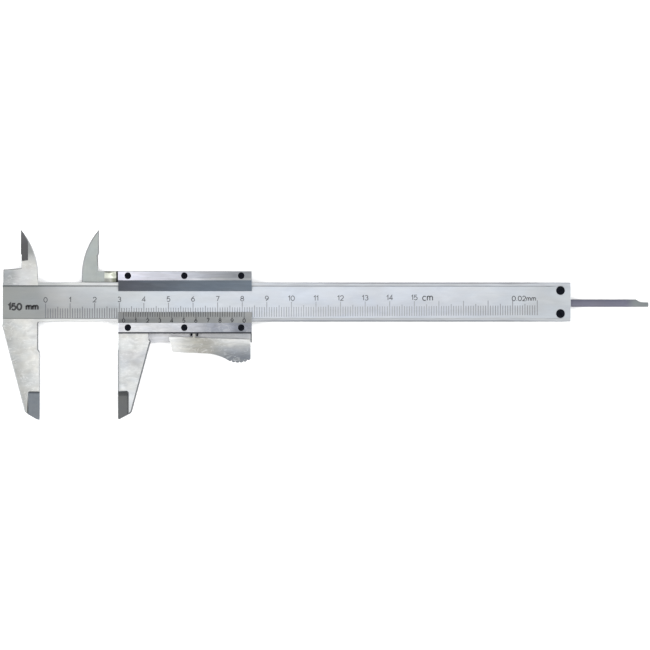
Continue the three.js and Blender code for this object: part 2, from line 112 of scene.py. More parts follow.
def tint(red, green, blue):
    """A factor for each colour channel, 0 to 255."""
    return (red / 255, green / 255, blue / 255, 1.0)


class Material:
    """A procedural material's nodes. Sizes are in millimetres, and places are in the frame at rest."""

    def __init__(self, name):
        self.material = bpy.data.materials.new(name)
        self.material.use_nodes = True
        self.tree = self.material.node_tree
        self.shader = self.tree.nodes["Principled BSDF"]
        self.place = self.node("ShaderNodeTexCoord").outputs["Object"]

    def node(self, kind, **settings):
        made = self.tree.nodes.new(kind)
        for setting, value in settings.items():
            setattr(made, setting, value)
        return made

    def feed(self, socket, value):
        """Links an output to a socket, or sets the socket to a plain value."""
        if isinstance(value, bpy.types.NodeSocket):
            self.tree.links.new(value, socket)
        else:
            socket.default_value = value

    def noise(self, size, detail=3.0, rough=0.55, seed=0.0, swirl=0.0):
        """Noise from 0 to 1 with features of about size, one number or one for each axis."""
        sizes = (size, size, size) if isinstance(size, (int, float)) else size
        scaled = self.node("ShaderNodeVectorMath", operation="MULTIPLY_ADD")
        self.feed(scaled.inputs[0], self.place)
        self.feed(scaled.inputs[1], [1 / (length * MM) for length in sizes])
        self.feed(scaled.inputs[2], (seed, seed * 1.7, seed * 2.3))
        made = self.node("ShaderNodeTexNoise")
        self.feed(made.inputs["Vector"], scaled.outputs[0])
        self.feed(made.inputs["Scale"], 1.0)
        self.feed(made.inputs["Detail"], detail)
        self.feed(made.inputs["Roughness"], rough)
        self.feed(made.inputs["Distortion"], swirl)
        return made.outputs["Fac"]

    def spread(self, value, low, high, to_low=0.0, to_high=1.0, smooth=True):
        """Value taken from the range low to high to the range to_low to to_high, and held at its ends."""
        made = self.node("ShaderNodeMapRange", interpolation_type="SMOOTHSTEP" if smooth else "LINEAR")
        self.feed(made.inputs["Value"], value)
        self.feed(made.inputs["From Min"], low)
        self.feed(made.inputs["From Max"], high)
        self.feed(made.inputs["To Min"], to_low)
        self.feed(made.inputs["To Max"], to_high)
        return made.outputs["Result"]

    def along(self, axis, origin=0.0):
        """The surface point's x, y or z in caliper millimetres, from an origin on that axis."""
        split = self.node("ShaderNodeSeparateXYZ")
        self.feed(split.inputs[0], self.place)
        metres = {"x": DATUM.x, "y": DATUM.y, "z": 0.0}[axis] + origin * MM
        moved = self.node("ShaderNodeMath", operation="SUBTRACT")
        self.feed(moved.inputs[0], split.outputs[axis.upper()])
        self.feed(moved.inputs[1], metres)
        scaled = self.node("ShaderNodeMath", operation="DIVIDE")
        self.feed(scaled.inputs[0], moved.outputs[0])
        self.feed(scaled.inputs[1], MM)
        return scaled.outputs[0]

    def ramp(self, value, stops):
        """A colour from (value, colour) stops."""
        first, last = stops[0][0], stops[-1][0]
        made = self.node("ShaderNodeValToRGB")
        self.feed(made.inputs["Fac"], self.spread(value, first, last, smooth=False))
        points = made.color_ramp.elements
        while len(points) < len(stops):
            points.new(0.5)
        for point, (stop, colour) in zip(points, stops):
            point.position = (stop - first) / (last - first)
            point.color = colour
        return made.outputs["Color"]

    def mix(self, amount, first, second, kind="MIX"):
        made = self.node("ShaderNodeMix", data_type="RGBA", blend_type=kind)
        self.feed(made.inputs[0], amount)
        self.feed(made.inputs[6], first)
        self.feed(made.inputs[7], second)
        return made.outputs[2]

    def math(self, operation, first, second):
        made = self.node("ShaderNodeMath", operation=operation)
        self.feed(made.inputs[0], first)
        self.feed(made.inputs[1], second)
        return made.outputs[0]

    def shade(self, colour, value, low, high):
        """Colour made darker or lighter by value, from low at 0.25 to high at 0.75."""
        amount = self.spread(value, 0.25, 0.75, low, high, smooth=False)
        factor = self.node("ShaderNodeCombineColor")
        for channel in range(3):
            self.feed(factor.inputs[channel], amount)
        return self.mix(1.0, colour, factor.outputs[0], "MULTIPLY")

    def bump(self, height, depth):
        """Bump from a height of 0 to 1 that stands for depth millimetres."""
        made = self.node("ShaderNodeBump")
        self.feed(made.inputs["Height"], height)
        self.feed(made.inputs["Distance"], depth * MM)
        self.feed(made.inputs["Strength"], 1.0)
        self.feed(self.shader.inputs["Normal"], made.outputs[0])

    def finish(self, colour, roughness, metallic=1.0):
        self.feed(self.shader.inputs["Base Color"], colour)
        self.feed(self.shader.inputs["Roughness"], roughness)
        self.feed(self.shader.inputs["Metallic"], metallic)
        return self.material


def grey(level):
    """A plain level from 0 to 1."""
    return (level, level, level, 1.0)


BLACK = grey(0.0)
WHITE = grey(1.0)
WARM = tint(255, 245, 228)
COOL = tint(230, 239, 252)
GLINT = srgb(246, 247, 246)


def graded(axis, stops, origin=0.0):
    """A colour that changes along one of the caliper's axes, for steel()."""
    return lambda made: made.ramp(made.along(axis, origin), stops)


GRINDING = {"x": (9.0, 0.5, 0.5), "y": (0.5, 9.0, 0.5)}  # the grinding lines' size, by their direction
GRINDING_DEPTH = 0.004
PATCHES = (5.5, 3.0, 3.0)  # the size of the mottling, unless a look has its own
TONE_SCALE = 1.3  # how much larger the warm and cool patches are


def warm_and_cool(made, colour, size, strength, seed):
    """Turns the colour warmer and cooler in patches."""
    patches = made.noise([length * TONE_SCALE for length in size], seed=seed + 7)
    toning = made.spread(patches, 0.35, 0.65)
    return made.mix(strength, colour, made.mix(1.0, colour, made.mix(toning, WARM, COOL), "MULTIPLY"))


def with_wisps(made, colour, strength, seed):
    """Draws thin, pale, curved wisps in some places."""
    folds = made.noise((4.2, 2.0, 2.0), detail=2.0, rough=0.5, seed=seed + 15, swirl=1.2)
    crease = made.math("ABSOLUTE", made.math("SUBTRACT", folds, 0.5), 0.0)
    where = made.spread(made.noise((4.0, 3.0, 3.0), seed=seed + 19), 0.42, 0.6)
    drawn = made.math("MULTIPLY", made.spread(crease, 0.0, 0.045, strength, 0.0), where)
    return made.mix(drawn, colour, GLINT)


def with_glints(made, colour, strength, seed):
    """Scatters small bright specks."""
    specks = made.noise((2.2, 1.3, 1.3), detail=2.0, seed=seed + 11)
    return made.mix(made.spread(specks, 0.64, 0.8, 0.0, strength), colour, GLINT)


def steel(name, colour, roughness, mottle=0.1, size=PATCHES, lines=0.06, run="x", toned=0.25,
          wisps=0.0, glints=0.0, seed=1.0):
    """Ground or chromed steel with soft mottling and fine grinding lines along run.

    Colour is one colour, or a function that makes it from the material's nodes."""
    made = Material(name)
    base = colour(made) if callable(colour) else colour
    patches = made.noise(size, detail=5.0, rough=0.6, seed=seed, swirl=0.8)
    reach = 1.3 * mottle
    shaded = made.shade(base, patches, 1 - reach, 1 + reach)
    grinding = made.noise(GRINDING[run], detail=5.0, rough=0.7, seed=seed + 3)
    shaded = made.shade(shaded, grinding, 1 - lines, 1 + lines)
    shaded = warm_and_cool(made, shaded, size, toned, seed)
    if wisps:
        shaded = with_wisps(made, shaded, wisps, seed)
    if glints:
        shaded = with_glints(made, shaded, glints, seed)
    made.bump(grinding, GRINDING_DEPTH)
    rough = made.spread(patches, 0.2, 0.8, roughness - 0.05, roughness + 0.07, smooth=False)
    return made.finish(shaded, rough)


def scale_colour(made):
    """The scale's face is darker towards its lower edge, most of all left of the slider."""
    down = made.ramp(made.along("y"), [
        (-6.6, tint(217, 217, 217)), (-3.6, tint(197, 197, 197)), (-2.4, tint(208, 208, 208)),
        (-1.2, tint(220, 220, 220)), (0.5, tint(228, 228, 228)), (2.5, tint(240, 240, 240)),
        (4.5, tint(255, 255, 255)),
    ])
    how_much = made.ramp(made.along("x"), [
        (-2, BLACK), (3, WHITE), (31, WHITE), (34, grey(0.15)), (106, grey(0.15)), (114, grey(0.5)),
        (198, grey(0.5)), (206, grey(0.2)),
    ])
    face = SCALE_COLOUR(made)
    return made.mix(how_much, face, made.mix(1.0, face, down, "MULTIPLY"))


def strip_upper_colour(made):
    """The upper guide strip has a painted dark line of shade along its outer, rounded edge towards the
    right.
    """
    on_edge = made.spread(made.along("y"), 7.2, 7.55)
    from_left = made.spread(made.along("x"), 95, 140, 0.0, 0.9)
    to_right = made.spread(made.along("x"), 192, 208, 1.0, 0.3)
    dark = made.math("MULTIPLY", on_edge, made.math("MULTIPLY", from_left, to_right))
    return made.mix(dark, UPPER_STRIP_COLOUR(made), srgb(154, 156, 161))


def strip_lower_colour(made):
    """The lower guide strip has a painted dark line of shade along its outer, rounded edge right of the
    slider.
    """
    on_edge = made.spread(made.along("y"), -7.5, -7.15, 1.0, 0.0)
    from_left = made.spread(made.along("x"), 78, 108)
    to_right = made.spread(made.along("x"), 190, 208, 1.0, 0.3)
    dark = made.math("MULTIPLY", on_edge, made.math("MULTIPLY", from_left, to_right))
    return made.mix(dark, LOWER_STRIP_COLOUR(made), srgb(148, 151, 156))


def head_colour(made):
    """The head above the scale, in painted reflection: grey at the left, a painted bright sheen below the
    inside jaw, and painted grey shade again up the jaw.
    """
    across = made.ramp(made.along("x"), [
        (-15.2, srgb(158, 161, 163)), (-11, srgb(165, 168, 169)), (-9.5, srgb(181, 182, 183)),
        (-7.5, srgb(197, 198, 198)), (-4, srgb(202, 202, 201)), (-1, srgb(206, 207, 204)),
    ])
    up = made.ramp(made.along("y"), [
        (12, srgb(202, 201, 198)), (16.5, srgb(194, 194, 191)), (18.5, srgb(173, 174, 173)),
        (20.5, srgb(147, 149, 149)), (29, srgb(145, 147, 147)),
    ])
    return made.mix(made.spread(made.along("y"), 12, 15), across, up)


BACK_TOP = -9.7  # where the fixed jaw's slanted back starts, at the beam's left end
BACK_ACROSS = 0.967  # how far one millimetre to the right, or one up, goes away from that back
BACK_UP = 0.255


def jaw_colour(made):
    """The fixed jaw has painted grey shade along its slanted back and a painted sheen towards its
    measuring face.
    """
    inward = made.math("MULTIPLY", made.along("x", -JAW_OVERHANG), BACK_ACROSS)
    upward = made.math("MULTIPLY", made.along("y", BACK_TOP), BACK_UP)
    return made.ramp(made.math("ADD", inward, upward), [
        (0, srgb(168, 169, 168)), (1, srgb(179, 180, 178)), (4, srgb(189, 190, 188)),
        (6, srgb(202, 203, 201)), (9, srgb(216, 216, 213)), (12, srgb(209, 209, 207)),
        (15, srgb(199, 199, 197)),
    ])


def moving_jaw_colour(made):
    """The moving jaw has a painted sheen below the slider and painted grey shade beside its measuring
    face.
    """
    down = made.ramp(made.along("y"), [
        (-38, srgb(214, 216, 217)), (-33, srgb(209, 211, 211)), (-27, srgb(200, 202, 203)),
        (-21, srgb(199, 200, 202)), (-18.5, srgb(213, 214, 212)), (-16, srgb(220, 220, 218)),
        (-13, srgb(208, 208, 206)),
    ])
    return made.mix(made.spread(made.along("x", OPENING), 0.3, 1.6, 0.5, 0.0), down, srgb(170, 173, 175))


def runout_colour(made):
    """A painted glint where the cutter ran out, with painted shade along its top, its right end and its
    foot.
    """
    x = made.along("x", OPENING)
    y = made.along("y")
    foot = made.ramp(x, [
        (-5.7, srgb(160, 161, 156)), (-3, srgb(148, 149, 143)), (-2, srgb(98, 100, 88)),
        (-0.7, srgb(70, 72, 66)),
    ])
    from_middle = made.math("ABSOLUTE", made.along("x", OPENING - 3.6), 0.0)
    top = made.math("SUBTRACT", y, made.math("MULTIPLY", from_middle, 0.22))
    beside_patch = made.math("ABSOLUTE", made.along("x", OPENING - 1.8), 0.0)
    above_patch = made.math("ABSOLUTE", made.along("y", 11.1), 0.0)
    patch = made.spread(made.math("ADD", beside_patch, above_patch), 0.7, 1.6, 0.85, 0.0)
    bright = made.mix(patch, srgb(210, 213, 202), srgb(146, 149, 135))
    ended = made.mix(made.spread(x, -2.8, -0.9, 0.0, 0.8), bright, srgb(112, 114, 107))
    topped = made.mix(made.spread(top, 11.5, 11.95, 0.0, 0.9), ended, srgb(96, 98, 90))
    return made.mix(made.spread(y, 9.4, 10.1, 1.0, 0.0), topped, foot)


def lever_colour(made):
    """Painted sheen and shade: nearly white at the left, warm grey in the middle, and blue-grey and dark
    down the thumb pad.
    """
    across = made.ramp(made.along("x", OPENING), [
        (20.8, srgb(228, 229, 228)), (24.5, srgb(216, 216, 214)), (28, srgb(191, 190, 185)),
        (32, srgb(172, 171, 164)), (37, srgb(162, 161, 155)), (46, srgb(159, 160, 157)),
    ])
    down = made.ramp(made.along("y"), [
        (-24, srgb(122, 126, 131)), (-22, srgb(127, 132, 139)), (-20.5, srgb(146, 150, 155)),
        (-19, srgb(164, 167, 170)), (-17.3, srgb(192, 193, 192)), (-16, srgb(213, 214, 213)),
        (-15, srgb(216, 217, 216)),
    ])
    return made.mix(made.spread(made.along("x", OPENING), 34, 47), across, down)


def upper_flat_colour(made):
    """The upper rail's flat has painted shade to the right, where a painted highlight runs along the
    bevel.
    """
    brighter = (1.3, 1.3, 1.28, 1.0)
    along = UPPER_FLAT_COLOUR(made)
    light = made.mix(1.0, along, brighter, "MULTIPLY")
    on_line = made.spread(made.along("y"), 9.5, 10.0, 1.0, 0.0)
    on_right = made.spread(made.along("x", OPENING), 26, 34)
    return made.mix(made.math("MULTIPLY", on_line, on_right), along, light)


def vernier_colour(made):
    """The vernier's bevel is painted as a dark reflection, lighter to the right, with painted shade
    towards the numerals' feet.
    """
    at_lines = made.ramp(made.along("x", OPENING), [
        (0, srgb(153, 154, 154)), (26, srgb(159, 161, 161)), (48, srgb(170, 172, 172)),
        (54, srgb(174, 176, 177)),
    ])
    at_numerals = made.ramp(made.along("x", OPENING), [
        (0, srgb(136, 138, 138)), (10, srgb(143, 145, 145)), (24, srgb(161, 163, 163)),
        (54, srgb(168, 170, 170)),
    ])
    return made.mix(made.spread(made.along("y"), -7.4, -6.4), at_numerals, at_lines)


def rod_colour(made):
    """Purple-grey drawn steel, with painted shade along its upper edge, and a greenish tip."""
    along = made.ramp(made.along("y"), [
        (-1.95, srgb(108, 108, 120)), (-1.3, srgb(119, 119, 132)), (0, srgb(111, 111, 125)),
        (1.1, srgb(98, 98, 110)),
    ])
    return made.mix(made.spread(made.along("x"), 238, 243), along, srgb(129, 133, 134))


def black_oxide():
    """Blackened screws and springs, speckled as if by fine blasting."""
    made = Material("black_oxide")
    speckle = made.noise(0.35, detail=3.0)
    colour = made.shade(srgb(23, 25, 31), speckle, 0.6, 1.4)
    made.bump(speckle, 0.01)
    return made.finish(colour, made.spread(speckle, 0.3, 0.7, 0.42, 0.6, smooth=False))


def bronze():
    """Rolled bronze, with its lines along the strip."""
    made = Material("bronze")
    lines = made.noise((6.0, 0.3, 0.3), detail=4.0)
    colour = made.shade(srgb(190, 148, 92), lines, 0.85, 1.1)
    made.bump(lines, GRINDING_DEPTH)
    return made.finish(colour, made.spread(lines, 0.2, 0.8, 0.28, 0.42, smooth=False))


def ink(name, stops):
    """The filling of engraved lines. Stops are (x, level) along the scale, paler where it is worn."""
    made = Material(name)
    wear = made.noise((3.0, 1.2, 1.2), detail=3.0, seed=4.0)
    filling = made.ramp(made.along("x"), [(x, srgb(level - 2, level, level + 4)) for x, level in stops])
    colour = made.shade(filling, wear, 0.85, 1.15)
    return made.finish(colour, made.spread(wear, 0.3, 0.7, 0.5, 0.65, smooth=False), metallic=0.0)


def floor_material():
    """A plain pale floor with the faintest grain."""
    made = Material("floor")
    grain = made.noise(40.0, detail=2.0)
    return made.finish(made.shade(grey(0.94), grain, 0.995, 1.0), 0.8, metallic=0.0)


# The scale face's ramp is painted reflection: dark grey at the head, lighter and bluer along the middle,
# greyer again at the right end.
SCALE_COLOUR = graded("x", [
    (-15, srgb(142, 145, 144)), (-1, srgb(145, 148, 148)), (3, srgb(163, 165, 166)),
    (10, srgb(177, 179, 180)), (32, srgb(185, 189, 192)), (50, srgb(193, 198, 204)),
    (100, srgb(195, 200, 208)), (165, srgb(194, 198, 205)), (195, srgb(189, 193, 198)),
    (204, srgb(180, 184, 188)), (216, srgb(182, 186, 190)),
])
# The low walls beside the scale are painted dark as the shade of the steps, darkest beside the head.
UPPER_STEP_COLOUR = graded("x", [
    (-15, srgb(97, 100, 101)), (-2, srgb(101, 104, 105)), (2, srgb(122, 125, 126)),
    (31, srgb(146, 149, 151)), (86, srgb(165, 168, 172)), (190, srgb(158, 162, 166)),
    (216, srgb(152, 156, 160)),
])
LOWER_STEP_COLOUR = graded("x", [
    (-15, srgb(124, 127, 126)), (-1, srgb(130, 133, 132)), (4, srgb(152, 154, 153)),
    (30, srgb(152, 154, 154)), (86, srgb(190, 193, 196)), (216, srgb(193, 196, 199)),
])
# The guide strips' ramps are painted reflection: lighter and darker stretches along the beam.
UPPER_STRIP_COLOUR = graded("x", [
    (-0.7, srgb(176, 178, 178)), (8, srgb(184, 186, 186)), (16, srgb(212, 214, 214)),
    (31, srgb(210, 212, 213)), (90, srgb(193, 196, 201)), (216, srgb(190, 193, 198)),
])
LOWER_STRIP_COLOUR = graded("x", [
    (-0.7, srgb(200, 201, 199)), (5, srgb(222, 223, 222)), (31, srgb(222, 223, 224)),
    (90, srgb(181, 184, 189)), (216, srgb(189, 192, 196)),
])
# The upper rail's flat ramp is painted reflection: pale and blue at the left, darker towards the right.
UPPER_FLAT_COLOUR = graded("x", [
    (0, srgb(217, 217, 230)), (2, srgb(226, 226, 238)), (5, srgb(228, 228, 239)),
    (10, srgb(219, 219, 229)), (14, srgb(205, 206, 215)), (26, srgb(197, 198, 206)),
    (31, srgb(188, 190, 197)), (36, srgb(170, 172, 178)), (43, srgb(154, 156, 160)),
    (48, srgb(142, 144, 148)), (54, srgb(146, 149, 153)),
], OPENING)
# The upper bevel is painted as a dark, bluish reflection, lighter towards the right.
UPPER_BEVEL_COLOUR = graded("x", [
    (0, srgb(104, 107, 114)), (6, srgb(108, 112, 122)), (16, srgb(116, 123, 133)),
    (30, srgb(126, 136, 148)), (54, srgb(133, 144, 156)),
], OPENING)
# The lower rail's flat ramp is painted reflection: pale at the left, darker streaks towards the right.
LOWER_FLAT_COLOUR = graded("x", [
    (0, srgb(218, 218, 222)), (8, srgb(216, 217, 220)), (26, srgb(202, 203, 208)),
    (31, srgb(188, 190, 197)), (36, srgb(168, 171, 179)), (40, srgb(158, 161, 170)),
    (44.5, srgb(164, 167, 175)), (48, srgb(137, 140, 149)), (54, srgb(142, 145, 154)),
], OPENING)
# The shelf is painted darker towards its right end, as painted shade.
SHELF_COLOUR = graded("x", [
    (0, srgb(218, 218, 222)), (16, srgb(212, 212, 215)), (26, srgb(208, 208, 210)),
    (34, srgb(199, 199, 201)), (44, srgb(184, 186, 189)), (54.5, srgb(192, 193, 196)),
], OPENING)
# The thin tips are painted dark grey, and darker still along their top edge: painted shade where they
# step down from the jaws.
TIP_COLOUR = graded("y", [
    (-48, srgb(114, 119, 125)), (-37.4, srgb(112, 117, 122)), (-36.9, srgb(78, 81, 85)),
])
MOVING_TIP_COLOUR = graded("y", [
    (-48, srgb(86, 87, 88)), (-38.4, srgb(83, 84, 84)), (-37.9, srgb(64, 65, 66)),
])
# The inside jaws' knife bevels are painted near black, as a dark reflection.
KNIFE_COLOUR = graded("y", [
    (16, srgb(57, 57, 58)), (24, srgb(60, 60, 61)), (29, srgb(70, 70, 71)),
])

BROAD = (12.0, 4.0, 4.0)
STREAKS = (9.0, 0.7, 0.7)
EVEN = (3.0, 3.0, 3.0)
WIDE = (6.0, 6.0, 6.0)
WIDEST = (8.0, 8.0, 8.0)
FINE = (1.0, 1.0, 1.0)


def edge_steel(name, colour):
    """The corners' broken edges, painted darker than the faces beside them as their shade."""
    return steel(name, colour, 0.4, mottle=0.08, size=EVEN, lines=0.03)


def tip_steel(name, colour, lines=0.05):
    """The jaws' thin measuring tips, ground across."""
    return steel(name, colour, 0.36, mottle=0.05, lines=lines, run="y")


SCALE_INK = [(-15, 90), (32, 92), (40, 114), (84, 126), (105, 142), (165, 136), (185, 116), (216, 106)]
NUMERAL_INK = [(-15, 56), (32, 60), (40, 80), (84, 90), (150, 84), (160, 50), (216, 50)]
VERNIER_INK = [(0, 52), (216, 52)]
VERNIER_NUMERAL_INK = [(0, 26), (216, 26)]
LABEL_INK = [(-15, 12), (10, 12)]

LOOKS = {
    # the beam
    "scale": steel("satin_chrome_scale", scale_colour, 0.48, mottle=0.06, size=BROAD, lines=0.03),
    "step_upper": steel("chrome_step_upper", UPPER_STEP_COLOUR, 0.5, mottle=0.06, lines=0.04),
    "step_lower": steel("chrome_step_lower", LOWER_STEP_COLOUR, 0.5, mottle=0.06, lines=0.04),
    "strip_upper": steel(
        "guide_strip_upper", strip_upper_colour, 0.34, mottle=0.1, size=STREAKS, lines=0.08, seed=2.0),
    "strip_lower": steel(
        "guide_strip_lower", strip_lower_colour, 0.34, mottle=0.08, size=STREAKS, lines=0.08, seed=3.0),
    "head": steel(
        "ground_head", head_colour, 0.36, mottle=0.06, size=(4.2, 2.6, 2.6), lines=0.04, toned=0.2,
        wisps=0.2, glints=0.25, seed=4.0),
    "jaw": steel(
        "ground_jaw", jaw_colour, 0.34, mottle=0.11, size=(4.6, 3.4, 3.4), lines=0.04, toned=0.3,
        wisps=0.35, glints=0.4, seed=5.0),
    "tip": tip_steel("ground_tip", TIP_COLOUR),
    "knife": tip_steel("knife_bevel", KNIFE_COLOUR, lines=0.06),
    # the slider
    "moving_jaw": steel(
        "ground_moving_jaw", moving_jaw_colour, 0.34, mottle=0.13, size=(4.6, 2.6, 2.6), lines=0.04,
        toned=0.3, wisps=0.35, glints=0.4, seed=6.0),
    "moving_tip": tip_steel("ground_moving_tip", MOVING_TIP_COLOUR),
    "blade": steel("blade_flat", srgb(163, 168, 166), 0.42, mottle=0.05, lines=0.03, run="y", seed=8.0),
    "runout": steel(
        "cutter_runout", runout_colour, 0.3, mottle=0.08, size=(1.6, 1.6, 1.6), lines=0.03, seed=9.0),
    # The upper wall's end is painted nearly black as the shade beside the runout.
    "wall_end": steel("slider_wall_end", srgb(43, 44, 42), 0.4, mottle=0.08, lines=0.05, run="y"),
    "shelf": steel(
        "ground_shelf", SHELF_COLOUR, 0.36, mottle=0.12, size=(4.6, 1.1, 1.1), lines=0.06, wisps=0.2,
        seed=16.0),
    # the rails
    "upper_flat": steel(
        "rail_flat_upper", upper_flat_colour, 0.3, mottle=0.07, size=(7.0, 1.3, 1.3), lines=0.1,
        seed=11.0),
    "upper_bevel": steel(
        "rail_bevel_upper", UPPER_BEVEL_COLOUR, 0.36, mottle=0.06, size=(9.0, 1.6, 1.6), lines=0.05,
        seed=12.0),
    "lower_flat": steel(
        "rail_flat_lower", LOWER_FLAT_COLOUR, 0.3, mottle=0.13, size=(4.4, 1.4, 1.4), lines=0.08,
        wisps=0.2, seed=13.0),
    "vernier": steel("rail_bevel_vernier", vernier_colour, 0.45, mottle=0.05, lines=0.03, seed=14.0),
    # The vernier rail's lower chamfer is painted dark as the shadow below the rail.
    "groove": steel(
        "rail_shadow_edge", srgb(78, 79, 84), 0.45, mottle=0.12, size=(8.0, 2.0, 2.0), lines=0.06,
        seed=15.0),
    # the smaller pieces, edges, sides and backs
    "lever": steel(
        "lever_steel", lever_colour, 0.33, mottle=0.13, size=(4.2, 1.1, 1.1), lines=0.05, wisps=0.3,
        glints=0.25, seed=17.0),
    "rod": steel("rod_steel", rod_colour, 0.38, mottle=0.05, lines=0.08, seed=18.0),
    "pin": steel("pin_steel", srgb(186, 188, 190), 0.3, mottle=0.08, size=FINE, lines=0.05),
    "edge": edge_steel("rounded_edge", srgb(150, 152, 153)),
    "edge_grey": edge_steel("grey_edge", srgb(120, 122, 124)),
    "edge_dark": edge_steel("chamfer_painted_shade", srgb(98, 100, 102)),
    "side": steel("satin_side", srgb(176, 179, 182), 0.4, size=WIDE, lines=0.08, seed=19.0),
    "back": steel(
        "satin_back", srgb(190, 193, 196), 0.42, mottle=0.08, size=WIDEST, lines=0.08, seed=20.0),
    "black": black_oxide(),
    "bronze": bronze(),
    # the marks
    "ink": ink("scale_ink", SCALE_INK),
    "numeral_ink": ink("numeral_ink", NUMERAL_INK),
    "vernier_ink": ink("vernier_ink", VERNIER_INK),
    "vernier_numeral_ink": ink("vernier_numeral_ink", VERNIER_NUMERAL_INK),
    "label": ink("label_ink", LABEL_INK),
}

# ---------------------------------------------------------------- finished pieces

WELD = 0.005  # vertices this close are one
FLAT = math.radians(0.5)  # faces that turn less than this are one flat face
CORNER = math.radians(50)  # an edge that turns more than this is a corner
SMOOTH = math.radians(40)  # an edge that turns less than this is part of a curve
LARGE = 6.0  # square millimetres, above which a face is flat and never part of a curve
FACING = 0.8  # the z of the normal of a face that looks to the front, or to the back when negative
LEVEL = 0.98  # the same, of a face that lies level
SLANTED = 0.3  # the same, of a face that can just be seen from the front


def cad_surface(node):
    """A CAD node's surface as a bmesh with shared corners welded and its flat faces whole."""
    surface = bmesh.new()
    surface.from_mesh(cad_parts[node].data)
    bmesh.ops.remove_doubles(surface, verts=surface.verts, dist=WELD * MM)
    bmesh.ops.dissolve_limit(surface, angle_limit=FLAT, verts=surface.verts, edges=surface.edges)
    return surface


def soften(surface, width, wanted, look_of=None):
    """Rounds the convex corners that wanted() picks. Look_of gives the new faces their look."""
    picked = []
    for edge in surface.edges:
        if len(edge.link_faces) != 2 or edge.calc_face_angle_signed(0) < CORNER:
            continue
        first, second = (caliper(vert.co) for vert in edge.verts)
        if wanted(first, second):
            picked.append(edge)
    made = bmesh.ops.bevel(
        surface, geom=picked, offset=width * MM, segments=2, profile=0.6, affect="EDGES",
        clamp_overlap=False, material=-1)
    if look_of:
        for face in made["faces"]:
            face.material_index = look_of(caliper(face.calc_center_median()))


def keep_crisp(surface):
    """Shades curves smooth, and keeps corners and large flat faces as they are."""
    for face in surface.faces:
        face.smooth = True
    for edge in surface.edges:
        turn = edge.calc_face_angle(math.pi)
        beside_flat = any(face.calc_area() > LARGE * MM * MM for face in edge.link_faces)
        edge.smooth = turn < (FLAT if beside_flat else SMOOTH)


def as_piece(surface, name, body, looks):
    """Turns a bmesh into a piece that rides a body, with one material for each look."""
    mesh = bpy.data.meshes.new(name)
    surface.normal_update()
    keep_crisp(surface)
    surface.to_mesh(mesh)
    surface.free()
    for look in looks:
        mesh.materials.append(LOOKS[look])
    piece = bpy.data.objects.new(name, mesh)
    bpy.context.scene.collection.objects.link(piece)
    normals = piece.modifiers.new("even_normals", "WEIGHTED_NORMAL")
    normals.keep_sharp = True
    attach(piece, body)
    return piece


def everywhere(first, second):
    return True


def finished(node, body, looks, zone=None, width=0.08, wanted=everywhere, outline=None,
             reshape=None):
    """A finished copy of a CAD node, with its corners rounded.

    Zone gives the look of a face from its middle and its normal. Width is the rounded corners' width,
    or 0 for none, and wanted picks them. Outline is (width, wanted, look_of) for corners that are
    rounded first, with looks of their own. Reshape changes the surface before all of that."""
    surface = cad_surface(node)
    if reshape:
        reshape(surface)
    surface.normal_update()
    for face in surface.faces:
        look = zone(caliper(face.calc_center_median()), face.normal) if zone else looks[0]
        face.material_index = looks.index(look)
    if outline:
        outline_width, outline_wanted, look_of = outline
        soften(surface, outline_width, outline_wanted, lambda middle: looks.index(look_of(middle)))
    if width:
        soften(surface, width, wanted)
    piece = as_piece(surface, f"finished_{node}", body, looks)
    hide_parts(node)
    return piece


def near(value, target, reach=0.03):
    """Whether two sizes in millimetres are the same, within reach."""
    return abs(value - target) < reach


# ---------------------------------------------------------------- the beam

HEAD_END = -0.7  # the head's right end, where the guide strips start
STEP_FOOT = 0.15  # how far the foot of the step beside the scale leans in over the scale
STEP_HEAD = 0.2  # how far its top leans out over the guide strip
HEAD_STEP = 0.45  # how far its top leans out over the head
STEP_END = 206.0  # right of here the step stays upright, beside the end screws
STEP_LIMIT = 7.0  # the leaning steps stay this close to the centre line
KNIFE_EDGE = -7.7  # each inside jaw's measuring edge, from its outside measuring face
KNIFE_FOOT = 15.0  # the inside jaws' ground bevels are above here
TIP_TOP = -30.0  # the outside jaws' thin tips are below here
RELIEF_LEFT = -1.5  # right of here and above RELIEF_BOTTOM, the fixed jaw stands back from its face
RELIEF_BOTTOM = -20.3
HOLLOW_FLOOR = 3.0  # the hollow behind the head has its narrow edge between these heights
HOLLOW_ROOF = 4.0
BEAM_OUTLINE = 0.34


def lean_step(surface):
    """Slopes the two low walls beside the scale, so that they show from the front."""
    for vert in surface.verts:
        place = caliper(vert.co)
        on_step = near(place.y, SCALE_TOP) or near(place.y, SCALE_BOTTOM)
        if place.x > STEP_END + WELD or not on_step:
            continue
        outward = math.copysign(MM, place.y)
        if near(place.z, BEAM_FRONT):
            vert.co.y += (HEAD_STEP if place.x < 0 < place.y else STEP_HEAD) * outward
        elif near(place.z, SCALE_FACE):
            vert.co.y -= STEP_FOOT * outward
    surface.normal_update()


def beam_zone(middle, normal):
    if middle.y > KNIFE_FOOT and near(middle.x, KNIFE_EDGE, 0.1):
        return "knife"
    if normal.z > FACING:
        if near(middle.z, SCALE_FACE):
            return "scale"
        if near(middle.z, BEAM_FRONT, 0.02):
            if middle.x > 0:
                return "strip_upper" if middle.y > 0 else "strip_lower"
            return "jaw" if middle.y < 0 else "head"
        if middle.z > SCALE_FACE and abs(middle.y) < STEP_LIMIT:
            return "step_upper" if middle.y > 0 else "step_lower"
        if middle.y < TIP_TOP:
            return "tip"
        if middle.y > KNIFE_FOOT:
            return "knife"
    if normal.z < -FACING:
        return "tip" if middle.y < TIP_TOP and middle.z > BEAM_BACK + 0.05 else "back"
    return "side"


